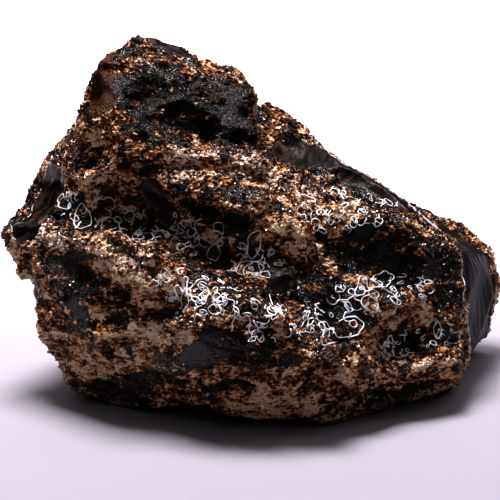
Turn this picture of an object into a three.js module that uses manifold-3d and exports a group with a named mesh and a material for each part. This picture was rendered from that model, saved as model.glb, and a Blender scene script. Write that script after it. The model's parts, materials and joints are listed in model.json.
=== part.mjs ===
// A raw amber lump, in millimetres: one solid natural piece with a broken front, a rounded hollow
// under its peak and a long valley across its middle. +X runs along its length, -Y is the broken
// front, +Z is up, and the origin is on the flat break that it rests on.
import * as THREE from "three";
import { ConvexGeometry } from "three/addons/geometries/ConvexGeometry.js";
import { TessellateModifier } from "three/addons/modifiers/TessellateModifier.js";
import { mergeVertices } from "three/addons/utils/BufferGeometryUtils.js";
import Module from "manifold-3d";

const wasm = await Module();
wasm.setup();

// Driving dimensions.
const SCALE = 1; // 1 gives a piece about 124 long, 85 deep and 84 high
const SPHERE_AROUND = 14; // facets round each break's ellipsoid
const SPHERE_UP = 8; // and from pole to pole
const STEEPNESS = 2.5; // an ellipsoid's half-height over the depth that it cuts
const LONGEST_EDGE = 10; // longer edges are split, so that the waves can bend a face
const SPLIT_ROUNDS = 14; // as many as the longest edge needs
const MERGE_GAP = 1e-4; // corners closer than this are one
const BASE_BLEND = 7; // height over which the waves' push up and down starts
const AMBER_COLOUR = 0x2a1a12;

// The lump is six rough blocks grown together. Each one is the hull of its corners.
const BLOCKS = {
  peak: {
    frontLeft: [-35.6, -2, 80],
    top: [-27.5, 6, 84],
    crestLeft: [-22, 10, 82.5],
    crestMiddle: [-11, 12, 78],
    crestRight: [-2.5, 12, 75],
    crestEnd: [1.5, 8, 71],
    rightFront: [3, -3, 65.5],
    rightLow: [2, -9, 58],
    lipRight: [-2.5, -12, 62],
    lipLeft: [-21, -14, 61],
    leftHigh: [-36.8, -1, 72],
    leftMiddle: [-38.2, -3, 68.5],
    leftWaist: [-41, -8, 60],
    leftLow: [-38, -13, 49.5],
    leftLowBack: [-45, 4, 50],
    backTop: [-30, 17, 77],
    backLeft: [-44, 20, 52],
    backRight: [-2, 26, 64],
    insideLeft: [-42, 10, 30],
    insideRight: [0, 10, 40],
    insideFront: [-15, -16, 40],
  },
  flank: {
    top: [-38.3, -1, 69],
    topBack: [-36, 12, 71],
    upper: [-43.8, -2, 59.3],
    middle: [-48.3, -3, 51.8],
    lower: [-53.5, -4, 44.5],
    tip: [-60, -6, 38.5],
    tipLow: [-55.2, -8, 31],
    tipUnder: [-54, -10, 28.3],
    tipFront: [-50, -13, 37],
    tipTop: [-53, -9, 42.5],
    outerBack: [-53, 10, 42],
    upperBack: [-43, 16, 60],
    backLow: [-51, 16, 32],
    front: [-38, -12, 54],
    frontLow: [-38, -13, 46],
    insideTop: [-28, 6, 66],
    insideLow: [-30, 10, 30],
    insideFront: [-30, -6, 44],
  },
  lobe: {
    ridgeFar: [-51.5, -9, 42],
    ridgeLeft: [-50, -13, 40.5],
    ridgeHigh: [-39, -19, 47],
    ridgeMiddle: [-27, -26, 44],
    ridgeLow: [-17, -32, 39],
    ridgeEnd: [-2, -37, 33],
    shoulder: [11, -40, 27],
    jawTop: [-51, -14, 17],
    jaw: [-47.5, -15, 9],
    jawLow: [-42, -15, 3],
    footLeft: [-34.5, -17.5, 0],
    cheek: [-34, -30, 23],
    bellyLeft: [-11, -38, 21],
    bellyRight: [12, -41, 20],
    rimLeft: [-14, -28, 4.5],
    rimMiddle: [-6, -32, 4],
    rimRight: [8, -33, 2.5],
    footFront: [19.5, -30, 0],
    footMiddle: [32, -20, 0],
    bellyEnd: [25.5, -30, 13],
    backLeft: [-50.5, 6, 40],
    backLeftLow: [-44, 18, 8],
    backMiddle: [10, 10, 38],
    backFoot: [-26, 22, 0],
    backFootRight: [25, 20, 0],
  },
  shelf: {
    backLeft: [-21, -10, 59],
    backRight: [-1, -6, 59],
    topLeft: [-18.5, -17, 54],
    topMiddle: [-6, -20, 53],
    topRight: [10, -14, 51],
    waistLeft: [-16, -19, 46.5],
    waistMiddle: [-1, -23, 47],
    waistRight: [11, -23, 43],
    lowLeft: [-11.5, -22, 40.5],
    lowMiddle: [1, -27.5, 37],
    lowRight: [10, -33, 31],
    insideLeft: [-16, -8, 34],
    insideRight: [14, -6, 30],
    insideBack: [0, 14, 50],
  },
  rightFront: {
    edgeTop: [5, -5, 57],
    edgeUpper: [11.5, -8, 53.5],
    edgeMiddle: [22.5, -10, 48],
    edgeLower: [32, -8, 45],
    edgeEnd: [43, -6, 40],
    corner: [51, -4, 33],
    side: [51.2, -9, 23.5],
    sideLow: [50.8, -14, 12.5],
    sideBase: [50, -17.5, 8],
    chinRight: [42, -22, 9.5],
    chinMiddle: [35, -25, 9],
    chin: [27.5, -29, 10.5],
    belly: [19, -38, 16],
    cheek: [11, -39, 24],
    gully: [0, -27, 38],
    gullyTop: [2, -15, 50],
    footMiddle: [29.5, -23, 0],
    footRight: [41, -14.5, 0],
    footSide: [49.5, -6.5, 0],
    insideTop: [20, 10, 40],
    insideLow: [20, 10, 4],
    insideRight: [46, 8, 22],
  },
  rear: {
    slopeTop: [4, 14, 66.3],
    slopeHigh: [14, 18, 60],
    slopeUpper: [24, 21, 49.8],
    slopeMiddle: [37, 25, 40.6],
    slopeLower: [54, 28, 30.2],
    slopeEnd: [59, 28, 27.8],
    shoulder: [62.5, 24, 25],
    rightTip: [63.5, 21, 17],
    rightHeel: [62, 21, 6],
    rightFoot: [56.5, 19.5, 0],
    footSide: [49, -5, 0],
    cornerBack: [50, -2, 32.5],
    sideBack: [50, -14, 7],
    channelTop: [2, 0, 58],
    channelEnd: [40, 0, 38],
    backPeak: [-32, 26, 58],
    backLeft: [-48, 22, 28],
    backLeftFoot: [-38, 26, 6],
    backMiddle: [0, 40, 40],
    backLow: [4, 41, 16],
    backRight: [44, 38, 22],
    footRight: [38, 33, 0],
    footLeft: [-22, 30, 0],
    footFront: [-18, -8, 0],
  },
};

// Knobs that stand out of the blocks, as ellipsoids: where each one's top is, the way it faces, its
// length and width, how far it stands out, and the turn of its length from level, anticlockwise
// seen from outside.
const KNOBS = {
  browRight: { at: [-4.5, 0, 71.5], facing: [0.4, -0.7, 0.6], long: 14, wide: 11, deep: 1.6, turn: -20 },
  peakLip: { at: [-8, -14.5, 61.5], facing: [0.1, -0.85, 0.5], long: 22, wide: 9, deep: 2, turn: -10 },
  peakCheek: { at: [-32, -12, 58], facing: [-0.1, -0.95, 0.2], long: 18, wide: 12, deep: 2, turn: 60 },
  shelfTop: { at: [-9, -20.5, 54], facing: [-0.1, -0.75, 0.65], long: 22, wide: 11, deep: 2.4, turn: -6 },
  shelfNose: { at: [7, -23.5, 44], facing: [0.1, -0.9, 0.4], long: 15, wide: 13, deep: 2, turn: -40 },
  lobeKnuckle: { at: [-29, -27.5, 37], facing: [-0.2, -0.8, 0.55], long: 22, wide: 11, deep: 2, turn: -14 },
  lobeMiddle: { at: [-8, -37.5, 30], facing: [-0.1, -0.85, 0.5], long: 24, wide: 12, deep: 1.8, turn: -14 },
  bellyKnob: { at: [13, -40.5, 19], facing: [0.1, -0.95, 0], long: 14, wide: 11, deep: 1.4, turn: 40 },
  rightBrow: { at: [28, -15, 44], facing: [0.35, -0.7, 0.65], long: 22, wide: 9, deep: 1.6, turn: -24 },
  chinBrow: { at: [38, -25.5, 12.5], facing: [0.35, -0.9, 0.1], long: 22, wide: 7, deep: 1.6, turn: 4 },
  backKnob: { at: [6, 37, 38], facing: [0.1, 0.8, 0.5], long: 26, wide: 18, deep: 2.4, turn: 20 },
};

// Dishes broken out of the blocks, given in the same way with how deep each one goes.
const DISHES = {
  peakHollow: { at: [-14, -11, 68], facing: [0.1, -0.8, 0.6], long: 27, wide: 16, deep: 7.5, turn: -14 },
  peakHollowEnd: { at: [-4, -10, 64.5], facing: [0.3, -0.8, 0.5], long: 16, wide: 10, deep: 3.5, turn: -30 },
  peakHollowTop: { at: [-20, -6, 73], facing: [0, -0.75, 0.65], long: 20, wide: 11, deep: 2.4, turn: 10 },
  peakSide: { at: [-35, -6, 73], facing: [-0.5, -0.8, 0.4], long: 14, wide: 10, deep: 1.8, turn: 70 },
  peakFace: { at: [-37, -9.5, 61], facing: [-0.35, -0.9, 0.2], long: 16, wide: 10, deep: 2.4, turn: 40 },
  peakWaist: { at: [-25, -13.5, 53], facing: [-0.1, -0.95, 0.1], long: 18, wide: 8, deep: 2.2, turn: -30 },
  leftFlank: { at: [-49, -5, 48.5], facing: [-0.7, -0.6, 0.4], long: 24, wide: 13, deep: 2.8, turn: 25 },
  crestNotch: { at: [-20, 9, 82], facing: [0.2, 0, 1], long: 12, wide: 7, deep: 1.6 },
  slopeNotch: { at: [2.5, 12, 68.5], facing: [0.6, 0, 0.8], long: 14, wide: 9, deep: 1.8 },
  valleyLeft: { at: [-42, -12, 46], facing: [-0.1, -0.7, 0.7], long: 28, wide: 11, deep: 3.2, turn: -12 },
  valleyMiddle: { at: [-27, -16, 45.5], facing: [0, -0.7, 0.7], long: 26, wide: 12, deep: 3.8, turn: -26 },
  valleyBend: { at: [-20, -17.5, 47], facing: [-0.6, -0.8, 0.1], long: 18, wide: 9, deep: 3.2, turn: -62 },
  valleyRight: { at: [-9, -23.5, 40.5], facing: [0, -0.75, 0.65], long: 26, wide: 11, deep: 3.4, turn: -28 },
  valleyEnd: { at: [4, -31, 35], facing: [0.1, -0.75, 0.65], long: 22, wide: 11, deep: 3, turn: -35 },
  underShelf: { at: [-8, -21, 48.5], facing: [-0.1, -0.95, 0], long: 20, wide: 7, deep: 3, turn: -14 },
  shelfShell: { at: [3, -27, 39.5], facing: [0.1, -0.85, 0.5], long: 15, wide: 11, deep: 3, turn: -30 },
  gully: { at: [9, -31.5, 33], facing: [-0.1, -0.9, 0.4], long: 24, wide: 8, deep: 2.4, turn: -60 },
  rightDish: { at: [36, -17, 34], facing: [0.4, -0.75, 0.5], long: 28, wide: 18, deep: 4.4, turn: -28 },
  rightFace: { at: [39, -20, 21], facing: [0.4, -0.85, 0.2], long: 26, wide: 13, deep: 2.4, turn: 14 },
  rightCheek: { at: [23, -29, 27], facing: [0.3, -0.85, 0.4], long: 20, wide: 14, deep: 2.2, turn: -50 },
  rearShell: { at: [8, 4, 60.5], facing: [0.45, -0.6, 0.65], long: 20, wide: 13, deep: 3.6, turn: -38 },
  channel: { at: [28, 2, 46.5], facing: [0.45, -0.4, 0.8], long: 40, wide: 13, deep: 3.2, turn: -38 },
  slopeDip: { at: [30, 26, 47.7], facing: [0.58, 0.15, 0.8], long: 56, wide: 54, deep: 3.3 },
  sideShell: { at: [57, 7, 16], facing: [0.9, -0.45, 0.1], long: 24, wide: 18, deep: 2, turn: 70 },
  lobeHollow: { at: [-42, -20.5, 36], facing: [-0.5, -0.8, 0.4], long: 24, wide: 12, deep: 3.2, turn: -10 },
  lobeCheek: { at: [-34, -28, 27.5], facing: [-0.4, -0.85, 0.3], long: 22, wide: 11, deep: 2.8, turn: 6 },
  lobePit: { at: [-20, -33, 30], facing: [-0.25, -0.9, 0.35], long: 13, wide: 8, deep: 2.2, turn: 15 },
  lobeFlank: { at: [-25, -32.5, 18], facing: [-0.35, -0.9, -0.2], long: 24, wide: 12, deep: 2, turn: -16 },
  underTip: { at: [-53, -13, 25.5], facing: [-0.9, -0.3, -0.3], long: 18, wide: 8, deep: 3 },
  jawDish: { at: [-46, -18, 14], facing: [-0.7, -0.6, -0.3], long: 20, wide: 13, deep: 2.4, turn: 60 },
  bellyDish: { at: [-4, -36.5, 12], facing: [-0.1, -0.95, -0.25], long: 26, wide: 11, deep: 2.6, turn: -6 },
  bellyPit: { at: [17, -37, 14], facing: [0.3, -0.95, 0], long: 12, wide: 11, deep: 2.4 },
  bellyCrest: { at: [2, -40.5, 25], facing: [0.05, -0.9, 0.4], long: 22, wide: 9, deep: 1.8, turn: -12 },
  underRim: { at: [-9, -25, 1], facing: [0, -0.4, -0.9], long: 36, wide: 16, deep: 3.8, turn: -8 },
  underChin: { at: [39, -20, 4], facing: [0.3, -0.75, -0.6], long: 24, wide: 8, deep: 1.8, turn: -6 },
  backPeak: { at: [-16, 19.5, 73], facing: [0, 0.7, 0.7], long: 26, wide: 13, deep: 3, turn: 8 },
  backUpper: { at: [-14, 33, 51], facing: [0, 0.85, 0.5], long: 36, wide: 22, deep: 5, turn: 15 },
  backSlope: { at: [22, 33, 43], facing: [0.3, 0.7, 0.65], long: 30, wide: 14, deep: 3, turn: 30 },
  backRight: { at: [24, 39, 24], facing: [0.2, 0.95, 0.2], long: 32, wide: 22, deep: 4.4, turn: 30 },
  backLeft: { at: [-27, 31, 27], facing: [-0.5, 0.85, 0.1], long: 30, wide: 20, deep: 4, turn: -20 },
  backFoot: { at: [-4, 38, 11], facing: [-0.1, 0.9, -0.4], long: 34, wide: 14, deep: 2.4, turn: 4 },
  backShoulder: { at: [55, 31, 17], facing: [0.6, 0.8, 0.1], long: 24, wide: 18, deep: 3.4, turn: 60 },
  leftSide: { at: [-50, 12, 30], facing: [-0.95, 0.3, 0.1], long: 26, wide: 17, deep: 3.4, turn: 50 },
  leftSideUpper: { at: [-45, 15, 56], facing: [-0.8, 0.4, 0.4], long: 24, wide: 14, deep: 2.6, turn: 40 },
};

// Slow waves that bend the whole lump, so that no face is flat and no rim is a true ellipse. Each
// has the way it runs, the way it pushes, its length from crest to crest, its height and its start.
const WAVES = [
  { along: [0.8, 0.3, -0.5], push: [0.1, -0.8, 0.6], length: 31, height: 0.75, start: 0.4 },
  { along: [-0.4, 0.5, 0.75], push: [0.7, -0.5, 0.2], length: 27, height: 0.7, start: 2.1 },
  { along: [0.3, -0.7, 0.6], push: [-0.3, 0.3, 0.9], length: 23, height: 0.6, start: 4.0 },
  { along: [0.9, -0.2, 0.4], push: [0.2, -0.9, -0.3], length: 17, height: 0.5, start: 1.3 },
  { along: [-0.2, 0.4, 0.9], push: [-0.5, -0.8, 0.2], length: 14, height: 0.42, start: 5.2 },
  { along: [0.6, 0.75, 0.2], push: [0.8, 0.1, 0.5], length: 15.5, height: 0.4, start: 3.1 },
  { along: [0.75, -0.1, -0.65], push: [0.1, -0.9, 0.4], length: 11.5, height: 0.32, start: 0.9 },
  { along: [-0.5, 0.6, -0.6], push: [0.5, 0.6, 0.6], length: 12.5, height: 0.3, start: 2.6 },
];

/** How far the waves push a point: nothing up or down at the base, which stays flat. */
function pushAt(point) {
  const push = new THREE.Vector3();
  for (const { along, push: way, length, height, start } of WAVES) {
    const phase = (2 * Math.PI * point.dot(new THREE.Vector3(...along).normalize())) / length + start;
    push.addScaledVector(new THREE.Vector3(...way).normalize(), height * Math.sin(phase));
  }
  push.z *= THREE.MathUtils.smoothstep(point.z, 0, BASE_BLEND);
  return push;
}

/** A closed THREE geometry as a manifold solid, its long edges split and its corners pushed. */
function bentSolid(geometry) {
  const split = new TessellateModifier(LONGEST_EDGE, SPLIT_ROUNDS).modify(geometry);
  const bare = new THREE.BufferGeometry();
  bare.setAttribute("position", split.getAttribute("position"));
  const merged = mergeVertices(bare, MERGE_GAP);
  const corners = merged.getAttribute("position");
  for (let i = 0; i < corners.count; i++) {
    const point = new THREE.Vector3().fromBufferAttribute(corners, i);
    point.add(pushAt(point));
    corners.setXYZ(i, point.x, point.y, point.z);
  }
  return new wasm.Manifold(
    new wasm.Mesh({
      numProp: 3,
      vertProperties: corners.array,
      triVerts: new Uint32Array(merged.index.array),
    }),
  );
}

/** The ellipsoid that breaks a dish out of a face, or with out -1 the one that makes a knob. */
function ellipsoid({ at, facing, long, wide, deep, turn = 0, out = 1 }) {
  const normal = new THREE.Vector3(...facing).normalize();
  const level = new THREE.Vector3(0, 0, 1).cross(normal).normalize();
  const rising = normal.clone().cross(level);
  const half = STEEPNESS * deep;
  const rim = Math.sqrt(1 - ((half - deep) / half) ** 2);
  const centre = new THREE.Vector3(...at).addScaledVector(normal, out * (half - deep));
  const ball = new THREE.SphereGeometry(1, SPHERE_AROUND, SPHERE_UP)
    .scale(long / 2 / rim, wide / 2 / rim, half)
    .rotateZ(THREE.MathUtils.degToRad(turn))
    .applyMatrix4(new THREE.Matrix4().makeBasis(level, rising, normal))
    .translate(centre.x, centre.y, centre.z);
  return bentSolid(ball);
}

/** The hull of one block's corners. */
function blockSolid(corners) {
  return bentSolid(new ConvexGeometry(Object.values(corners).map((c) => new THREE.Vector3(...c))));
}

/** The blocks and knobs joined into one lump, with its dishes broken out. */
function amberSolid() {
  const blocks = Object.values(BLOCKS).map(blockSolid);
  const knobs = Object.values(KNOBS).map((knob) => ellipsoid({ ...knob, out: -1 }));
  const lump = [...blocks, ...knobs].reduce((whole, more) => whole.add(more));
  const dishes = Object.values(DISHES).map((dish) => ellipsoid(dish));
  return dishes.reduce((rest, dish) => rest.subtract(dish), lump);
}

/** A manifold solid as a THREE geometry. */
function geometryOf(solid) {
  const mesh = solid.getMesh();
  const geometry = new THREE.BufferGeometry();
  geometry.setAttribute("position", new THREE.BufferAttribute(mesh.vertProperties, 3));
  geometry.setIndex(new THREE.BufferAttribute(mesh.triVerts, 1));
  geometry.scale(SCALE, SCALE, SCALE);
  geometry.computeVertexNormals();
  return geometry;
}

const amber = new THREE.Mesh(
  geometryOf(amberSolid()),
  new THREE.MeshStandardMaterial({ color: AMBER_COLOUR, roughness: 0.25, metalness: 0 }),
);
amber.name = "amber_piece";

const part = new THREE.Group();
part.add(amber);
export default part;
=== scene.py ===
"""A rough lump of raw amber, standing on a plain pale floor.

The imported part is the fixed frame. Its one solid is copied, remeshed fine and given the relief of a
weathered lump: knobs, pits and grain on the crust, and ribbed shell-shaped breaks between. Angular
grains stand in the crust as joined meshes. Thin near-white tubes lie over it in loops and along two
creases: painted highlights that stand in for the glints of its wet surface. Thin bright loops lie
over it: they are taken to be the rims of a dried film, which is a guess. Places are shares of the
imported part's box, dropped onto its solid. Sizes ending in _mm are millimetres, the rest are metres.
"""

import json
import logging
import math
from collections.abc import Callable
from dataclasses import dataclass
from enum import Enum

import bmesh
import bpy
import numpy as np
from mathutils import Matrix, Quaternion, Vector, noise
from mathutils.bvhtree import BVHTree
from mathutils.kdtree import KDTree

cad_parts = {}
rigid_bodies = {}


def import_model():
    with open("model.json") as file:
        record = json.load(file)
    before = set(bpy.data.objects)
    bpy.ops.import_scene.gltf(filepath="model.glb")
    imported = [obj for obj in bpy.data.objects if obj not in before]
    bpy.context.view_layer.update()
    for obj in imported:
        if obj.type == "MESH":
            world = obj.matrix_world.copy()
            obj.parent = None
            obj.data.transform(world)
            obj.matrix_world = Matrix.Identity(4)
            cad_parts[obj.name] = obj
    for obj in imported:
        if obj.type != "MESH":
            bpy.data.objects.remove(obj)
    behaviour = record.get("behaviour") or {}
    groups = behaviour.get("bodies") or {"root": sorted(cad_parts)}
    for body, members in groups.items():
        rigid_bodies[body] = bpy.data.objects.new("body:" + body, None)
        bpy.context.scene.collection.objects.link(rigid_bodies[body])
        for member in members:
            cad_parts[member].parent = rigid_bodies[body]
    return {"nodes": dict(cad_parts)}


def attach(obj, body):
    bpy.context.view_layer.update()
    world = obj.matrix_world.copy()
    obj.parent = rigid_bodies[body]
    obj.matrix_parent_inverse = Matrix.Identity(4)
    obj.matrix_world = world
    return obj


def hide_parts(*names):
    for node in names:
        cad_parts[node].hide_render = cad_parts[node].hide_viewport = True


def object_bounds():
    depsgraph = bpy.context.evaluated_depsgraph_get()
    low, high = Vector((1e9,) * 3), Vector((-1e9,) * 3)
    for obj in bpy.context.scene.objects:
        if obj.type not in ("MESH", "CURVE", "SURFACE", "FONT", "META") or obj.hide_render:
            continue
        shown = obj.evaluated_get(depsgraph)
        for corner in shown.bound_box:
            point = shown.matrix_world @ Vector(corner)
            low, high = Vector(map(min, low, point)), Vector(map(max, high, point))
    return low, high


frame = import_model()
CAD_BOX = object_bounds()

MM = 0.001
WELD_MM = 0.001
ELSEWHERE = 1.0  # metres that a noise's reading is shifted by, so that it doesn't repeat another's
LOG = logging.getLogger("amber")

Place = tuple[float, float, float]
Tree = bpy.types.NodeTree
Socket = bpy.types.NodeSocket
Links = dict[str | int, Socket]


class Cover(Enum):
    """The vertex attributes that say how much of each finish a point of the surface wears."""

    CRUST = "crust"
    FRESH = "fresh"
    PALE = "pale"
    DARK = "dark"
    MATT = "matt"
    HONEY = "honey"
    # LOW, stored as "low", is painted light: it makes the crust lighter and rustier on faces that turn
    # sideways or down.
    LOW = "low"
    DRY = "dry"
    RUN = "run"
    GRAINS = "grains"
    TINT = "tint"


# ---------------------------------------------------------------- helpers


def linear(colour: str) -> tuple[float, float, float, float]:
    """Turns an sRGB hex colour into linear light.

    Args:
        colour: the colour as "#rrggbb".

    Returns:
        Red, green and blue in linear light, with an alpha of 1.
    """
    channels = [int(colour[i : i + 2], 16) / 255 for i in (1, 3, 5)]
    return (*(c / 12.92 if c <= 0.04045 else ((c + 0.055) / 1.055) ** 2.4 for c in channels), 1.0)


def add(
    tree: Tree, kind: str, settings: dict | None = None, links: Links | None = None
) -> bpy.types.Node:
    """Adds one node to a tree.

    Args:
        tree: the node tree.
        kind: the node's type name.
        settings: the node's own settings by name, and its inputs' values by name or number.
        links: the sockets that feed its inputs, by the input's name or number.

    Returns:
        The new node.
    """
    node = tree.nodes.new(kind)
    for name, value in (settings or {}).items():
        if isinstance(name, str) and hasattr(node, name):
            setattr(node, name, value)
        else:
            node.inputs[name].default_value = value
    for name, socket in (links or {}).items():
        tree.links.new(socket, node.inputs[name])
    return node


def cover_in(tree: Tree, cover: Cover) -> Socket:
    """Adds the node that reads one of the covers off the vertices."""
    return add(tree, "ShaderNodeAttribute", {"attribute_name": cover.value}).outputs["Fac"]


def per_size(size_mm: float) -> float:
    """The scale that gives a pattern on Object coordinates features of this size."""
    return 1 / (size_mm * MM)


def sampled(points: np.ndarray, size_mm: float, value: Callable[[Vector], float]) -> np.ndarray:
    """Reads a noise at many points.

    Args:
        points: one point a row, in metres.
        size_mm: how far apart the noise's features are.
        value: the noise, as a function of a point in its own units.

    Returns:
        One value for each point.
    """
    return np.array([value(Vector(point)) for point in points * per_size(size_mm)])


def smoothstep(low: float, high: float, values: np.ndarray) -> np.ndarray:
    """Eases from 0 at low to 1 at high."""
    part = np.clip((values - low) / (high - low), 0, 1)
    return part * part * (3 - 2 * part)


def corners_of(mesh: bpy.types.Mesh) -> np.ndarray:
    """Reads where a mesh's vertices are.

    Args:
        mesh: the mesh.

    Returns:
        One place a row, in metres.
    """
    places = np.empty(len(mesh.vertices) * 3, np.float32)
    mesh.vertices.foreach_get("co", places)
    return places.reshape(-1, 3).astype(float)


def normals_of(mesh: bpy.types.Mesh) -> np.ndarray:
    """Reads which way a mesh's vertices face.

    Args:
        mesh: the mesh.

    Returns:
        One outward direction a row.
    """
    ways = np.empty(len(mesh.vertices) * 3, np.float32)
    mesh.vertices.foreach_get("normal", ways)
    return ways.reshape(-1, 3).astype(float)


def set_cover(mesh: bpy.types.Mesh, cover: Cover, values: np.ndarray) -> None:
    """Stores one of the covers on a mesh's vertices."""
    layer = mesh.attributes.new(cover.value, "FLOAT", "POINT")
    layer.data.foreach_set("value", values.astype(np.float32))


def linked(name: str, mesh: bpy.types.Mesh) -> bpy.types.Object:
    """Puts a new object in the scene for a mesh.

    Args:
        name: what the object is called.
        mesh: its mesh.

    Returns:
        The new object.
    """
    piece = bpy.data.objects.new(name, mesh)
    bpy.context.scene.collection.objects.link(piece)
    return piece


def put_in_order(mesh: bpy.types.Mesh) -> None:
    """Numbers a mesh's corners, edges and faces by where they lie.

    A remesh numbers them by how its work was shared out, which differs from machine to machine, and
    what is strewn by chance follows the numbers.

    Args:
        mesh: the mesh, which it changes.
    """
    shell = bmesh.new()
    shell.from_mesh(mesh)
    for parts, key in (
        (shell.verts, lambda corner: tuple(corner.co)),
        (shell.edges, lambda part: sorted(corner.index for corner in part.verts)),
        (shell.faces, lambda part: sorted(corner.index for corner in part.verts)),
    ):
        for number, part in enumerate(sorted(parts, key=key)):
            part.index = number
        parts.sort()
    shell.to_mesh(mesh)
    shell.free()


def welded(mesh: bpy.types.Mesh) -> None:
    """Joins a mesh's doubled corners, so that its seams are closed.

    Args:
        mesh: the mesh, which it changes.
    """
    shell = bmesh.new()
    shell.from_mesh(mesh)
    bmesh.ops.remove_doubles(shell, verts=shell.verts, dist=WELD_MM * MM)
    shell.to_mesh(mesh)
    shell.free()


def settled(piece: bpy.types.Object) -> None:
    """Makes what a piece's modifiers give its real mesh, and drops the modifiers.

    Args:
        piece: the object, which it changes.
    """
    graph = bpy.context.evaluated_depsgraph_get()
    finished = bpy.data.meshes.new_from_object(piece.evaluated_get(graph))
    piece.modifiers.clear()
    piece.data = finished


# ---------------------------------------------------------------- where the lump is broken, pale, dark or wet

NODE = "amber_piece"


def welded_copy() -> bmesh.types.BMesh:
    """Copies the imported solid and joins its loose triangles.

    Returns:
        The copy, for the caller to free.
    """
    shell = bmesh.new()
    shell.from_mesh(frame["nodes"][NODE].data)
    bmesh.ops.remove_doubles(shell, verts=shell.verts, dist=WELD_MM * MM)
    return shell


def packed_solid() -> BVHTree:
    """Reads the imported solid's surface, to find places on.

    Returns:
        The surface, ready to be searched.
    """
    shell = welded_copy()
    surface = BVHTree.FromBMesh(shell)
    shell.free()
    return surface


def packed_creases(sharp_deg: float, step_mm: float) -> KDTree:
    """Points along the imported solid's sharp outward creases.

    Args:
        sharp_deg: the least angle that the faces beside a crease turn through.
        step_mm: how far apart the points are along it.

    Returns:
        The points, ready to be searched.
    """
    shell = welded_copy()
    places = []
    for edge in shell.edges:
        if edge.calc_face_angle_signed(0.0) > math.radians(sharp_deg):
            start, end = (corner.co.copy() for corner in edge.verts)
            count = max(2, round(edge.calc_length() / (step_mm * MM)))
            places += [start.lerp(end, part) for part in np.linspace(0, 1, count)]
    shell.free()
    creases = KDTree(len(places))
    for number, place in enumerate(places):
        creases.insert(place, number)
    creases.balance()
    return creases


SOLID = packed_solid()


class Side(Enum):
    """The sides that the lump is seen from, each as the way it faces."""

    FRONT = (0, -1, 0)
    BACK = (0, 1, 0)
    LEFT = (-1, 0, 0)
    RIGHT = (1, 0, 0)
    TOP = (0, 0, 1)


@dataclass(frozen=True)
class Spot:
    """A spot on the lump, given by shares of its box as one side shows it.

    On the front and back, across runs from the left end to the right and up from foot to peak. On the
    ends, across runs from front to back. On the top, across runs from left to right and up from front
    to back.
    """

    across: float
    up: float
    side: Side = Side.FRONT

    def place(self) -> Vector:
        """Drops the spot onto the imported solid.

        Returns:
            The place in metres.
        """
        low, high = (Vector(corner) for corner in CAD_BOX)
        shares = Vector((0.5, 0.5, 0.5))
        if self.side is Side.TOP:
            shares.xy = self.across, self.up
        elif self.side in (Side.LEFT, Side.RIGHT):
            shares.yz = self.across, self.up
        else:
            shares.x, shares.z = self.across, self.up
        out = Vector(self.side.value)
        start = low + shares * (high - low) + out * (high - low).length
        hit = SOLID.ray_cast(start, -out)[0]
        return hit if hit is not None else SOLID.find_nearest(start)[0]


@dataclass(frozen=True)
class Patch:
    """A rounded stretch of the surface that wears one cover.

    It reaches reach_mm round a line from start to end, and fades over its outer third.
    """

    start: Spot
    end: Spot
    reach_mm: float
    strength: float = 1.0
    fade_from: float = 0.67

    def weights(self, points: np.ndarray) -> np.ndarray:
        """How strongly the patch covers each point.

        Args:
            points: one point a row, in millimetres.

        Returns:
            The cover at each point, from 0 to strength.
        """
        start, end = (np.array(spot.place()) / MM for spot in (self.start, self.end))
        along = end - start
        part = np.clip((points - start) @ along / max(float(along @ along), 1e-9), 0, 1)
        gap = np.linalg.norm(points - start - part[:, None] * along, axis=1)
        return self.strength * (1 - smoothstep(self.fade_from, 1.0, gap / self.reach_mm))


@dataclass(frozen=True)
class Break(Patch):
    """A fresh shell-shaped break: a patch with ribs that run round the point where it was struck.

    struck_mm is how far from its start it was struck. uneven gives the waves that bend the ribs, each
    as its size in millimetres and its strength in ribs.
    """

    struck_mm: Place = (-12.0, 0.0, 16.0)
    rib_mm: float = 2.0
    rib_height_mm: float = 0.1
    uneven: tuple[tuple[float, float], ...] = ((11.0, 1.6), (3.0, 0.4))
    gap_mm: float = 8.0
    gap_edge: float = 0.5

    def run(self, points: np.ndarray) -> np.ndarray:
        """How far each point is from where the break was struck, in millimetres."""
        return np.linalg.norm(points - np.array(self.start.place()) / MM - self.struck_mm, axis=1)

    def ribs(self, points: np.ndarray) -> np.ndarray:
        """How high the ribs stand, uneven in their course and fading in gaps.

        Args:
            points: one point a row, in millimetres.

        Returns:
            The height at each point, in millimetres.
        """
        places = points * MM
        uneven = sum(share * sampled(places, size_mm, noise.noise) for size_mm, share in self.uneven)
        gaps = sampled(places + ELSEWHERE, self.gap_mm, noise.noise)
        fading = smoothstep(-self.gap_edge, self.gap_edge, gaps)
        waves = np.sin(2 * math.pi * (self.run(points) / self.rib_mm + uneven))
        return self.rib_height_mm * waves * fading * self.weights(points)


def covered(patches: tuple[Patch, ...], points: np.ndarray) -> np.ndarray:
    """The strongest cover that any of the patches gives each point."""
    return np.max([patch.weights(points) for patch in patches], axis=0)


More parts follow.
